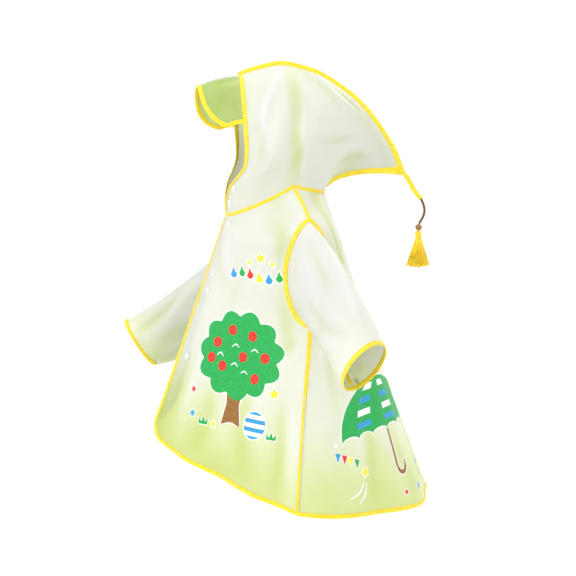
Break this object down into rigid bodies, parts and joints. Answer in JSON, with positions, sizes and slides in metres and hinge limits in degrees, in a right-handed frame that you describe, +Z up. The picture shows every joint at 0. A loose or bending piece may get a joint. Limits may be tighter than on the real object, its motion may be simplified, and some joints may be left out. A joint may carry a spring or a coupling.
{
  "type": "kids raincoat",
  "caption": "Child's hooded cape-cut raincoat of frosted film with yellow bound edges, clear visor, snap front and a tassel at the hood's tip, standing open as if worn.",
  "frame": {"origin": "middle of the neck base, where the wearer's shoulders carry the coat", "axes": "+X to the wearer's left, -Y to the wearer's front, +Z up"},
  "size_m": [0.8042, 0.6364, 0.9128],
  "materials": {
    "film_frosted": "frosted translucent film, satin, faint green",
    "visor_green": "clear green-tinted film, glossy",
    "binding_yellow": "woven binding tape, bright yellow, matte",
    "snap_white": "moulded white, semi-gloss",
    "cord_brown": "twisted brown cord",
    "bead_brown": "moulded brown bead",
    "tassel_yellow": "bright yellow silky strands"
  },
  "bodies": {
    "root": {"front_left": "film_frosted", "front_right": "film_frosted", "back": "film_frosted", "binding_front_left": "binding_yellow", "binding_front_right": "binding_yellow", "binding_back_hem": "binding_yellow", "binding_shoulder_left": "binding_yellow", "binding_side_left": "binding_yellow", "binding_shoulder_right": "binding_yellow", "binding_side_right": "binding_yellow", "binding_armhole_left": "binding_yellow", "binding_armhole_right": "binding_yellow", "sleeve_left": "film_frosted", "binding_sleeve_left": "binding_yellow", "binding_cuff_left": "binding_yellow", "sleeve_right": "film_frosted", "binding_sleeve_right": "binding_yellow", "binding_cuff_right": "binding_yellow", "hood_left": "film_frosted", "binding_face_left": "binding_yellow", "hood_right": "film_frosted", "binding_face_right": "binding_yellow", "binding_neck": "binding_yellow", "binding_hood_seam": "binding_yellow", "visor": "visor_green", "binding_visor": "binding_yellow", "snap_front_1": "snap_white", "snap_front_2": "snap_white", "snap_front_3": "snap_white", "snap_front_4": "snap_white", "snap_chin_1": "snap_white", "snap_chin_2": "snap_white", "snap_back_left": "snap_white", "snap_back_right": "snap_white", "snap_cuff_left_1": "snap_white", "snap_cuff_left_2": "snap_white", "snap_cuff_right_1": "snap_white", "hood_tail": "binding_yellow", "tassel_cord": "cord_brown", "tassel_bead": "bead_brown", "tassel": "tassel_yellow"}
  },
  "joints": []
}
